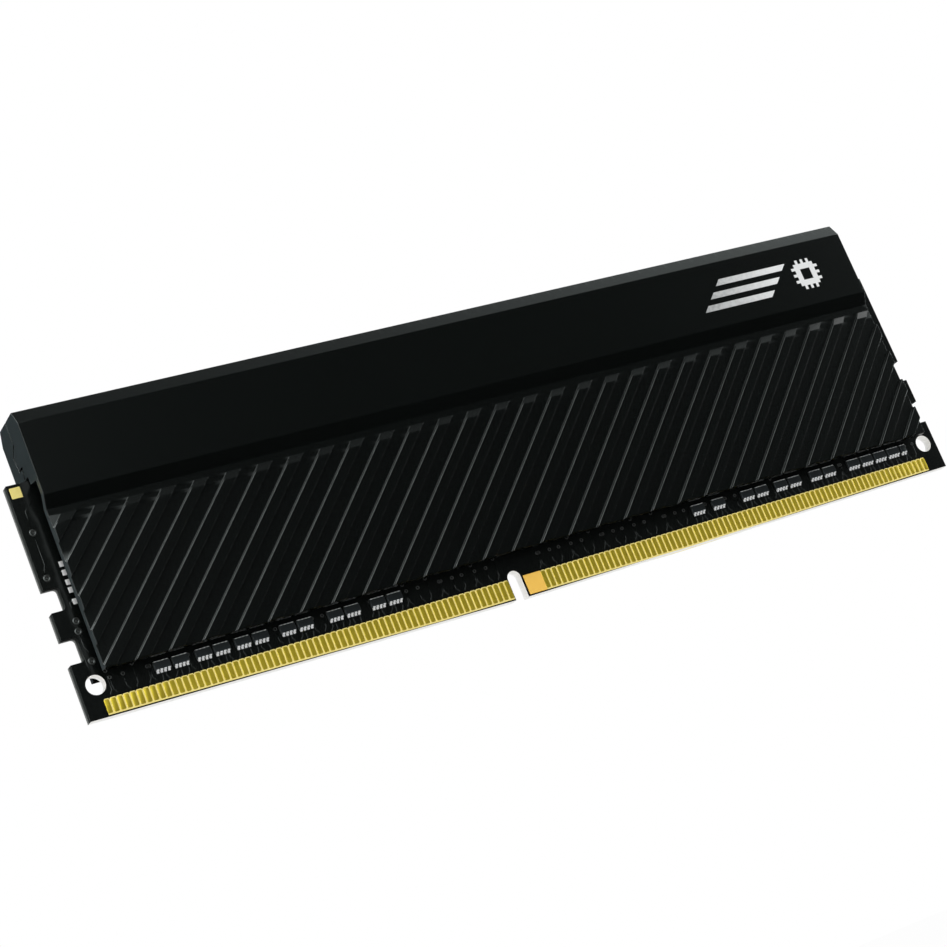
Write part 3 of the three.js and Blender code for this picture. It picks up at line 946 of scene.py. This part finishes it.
for side in SIDES:
    add_spreader(side)
    add_contacts(side)
    add_wide_contact(side)
    add_resistor_banks(side)
    add_chips(side)
    add_thermal_pad(side)
    add_card_details(side)
add_settings_chip()
add_card()
add_left_pads()
add_test_pad()
for mark in sorted(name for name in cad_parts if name.startswith("pictogram")):
    paint(mark, SILVER)


# ---------------------------------------------------------------- stage, lights and camera

def soft_box(tree, azimuth, elevation, reach, strength):
    """Light from a round soft box: full within a quarter of its reach, then fading out."""
    looking = add_node(tree, "ShaderNodeTexCoord").outputs["Generated"]
    level = math.cos(math.radians(elevation))
    centre = (level * math.cos(math.radians(azimuth)), level * math.sin(math.radians(azimuth)),
              math.sin(math.radians(elevation)))
    nearness = add_node(tree, "ShaderNodeVectorMath", {"operation": "DOT_PRODUCT"}, {0: looking, 1: centre})
    inputs = {"Value": nearness.outputs["Value"], "From Min": math.cos(math.radians(reach)),
              "From Max": math.cos(math.radians(reach / 4)), "To Max": strength}
    fade = add_node(tree, "ShaderNodeMapRange", {"interpolation_type": "SMOOTHSTEP"}, inputs)
    return fade.outputs["Result"]


def studio_world():
    """A white room that lights the object evenly, and shows it dark walls and soft boxes to reflect."""
    world = bpy.data.worlds.new("studio")
    world.use_nodes = True
    tree = world.node_tree
    background = tree.nodes["Background"]
    path = add_node(tree, "ShaderNodeLightPath")
    plain_ray = maths(tree, "MAXIMUM", path.outputs["Is Camera Ray"], path.outputs["Is Diffuse Ray"])
    boxes = DARK_WALL
    for box in SOFT_BOXES:
        boxes = maths(tree, "ADD", boxes, soft_box(tree, *box))
    reflected = maths(tree, "MULTIPLY", path.outputs["Is Glossy Ray"], boxes)
    tree.links.new(maths(tree, "ADD", plain_ray, reflected), background.inputs["Strength"])
    tint = mix_colour(tree, path.outputs["Is Glossy Ray"], (1, 1, 1, 1), COOL_WHITE)
    tree.links.new(tint, background.inputs["Color"])
    bpy.context.scene.world = world


def near_light(name, place, aim, size, power):
    """A small lamp close to the module that shows only in its glossy surfaces."""
    data = bpy.data.lights.new(name, "AREA")
    data.shape = "DISK"
    data.size = size * MM
    data.energy = power
    light = bpy.data.objects.new(name, data)
    light.location = Vector(place) * MM
    light.rotation_euler = (Vector(aim) - Vector(place)).to_track_quat("-Z", "Y").to_euler()
    light.visible_diffuse = False
    bpy.context.scene.collection.objects.link(light)


def add_floor():
    """A plain pale floor, clear from underneath so that the contact edge can be seen from below."""
    low = cad_box[0]
    bpy.ops.mesh.primitive_plane_add(size=FLOOR_SIZE, location=(0, 0, low[2] - FLOOR_DROP))
    plane = bpy.context.active_object
    plane.name = "floor"
    material, tree, bsdf = shader("floor_white")
    feed(tree, bsdf, Base_Color=FLOOR_WHITE, Roughness=1.0, Specular_IOR_Level=0.0)
    clear = add_node(tree, "ShaderNodeBsdfTransparent").outputs["BSDF"]
    underneath = add_node(tree, "ShaderNodeNewGeometry").outputs["Backfacing"]
    either = add_node(tree, "ShaderNodeMixShader", None, {0: underneath, 1: bsdf.outputs["BSDF"], 2: clear})
    tree.links.new(either.outputs["Shader"], tree.nodes["Material Output"].inputs["Surface"])
    plane.data.materials.append(material)
    plane.visible_glossy = False


def add_camera():
    data = bpy.data.cameras.new("camera")
    data.sensor_width = SENSOR_WIDTH
    data.lens = CAMERA_LENS
    data.clip_start = 0.01
    data.clip_end = 50
    eye = bpy.data.objects.new("camera", data)
    eye.location = CAMERA_PLACE
    eye.rotation_euler = [math.radians(angle) for angle in CAMERA_TURN]
    bpy.context.scene.collection.objects.link(eye)
    bpy.context.scene.camera = eye


bpy.context.scene.view_settings.view_transform = "Standard"
studio_world()
add_floor()
add_camera()
near_light("ramp_light", *RAMP_LIGHT)
near_light("rib_light", *RIB_LIGHT)
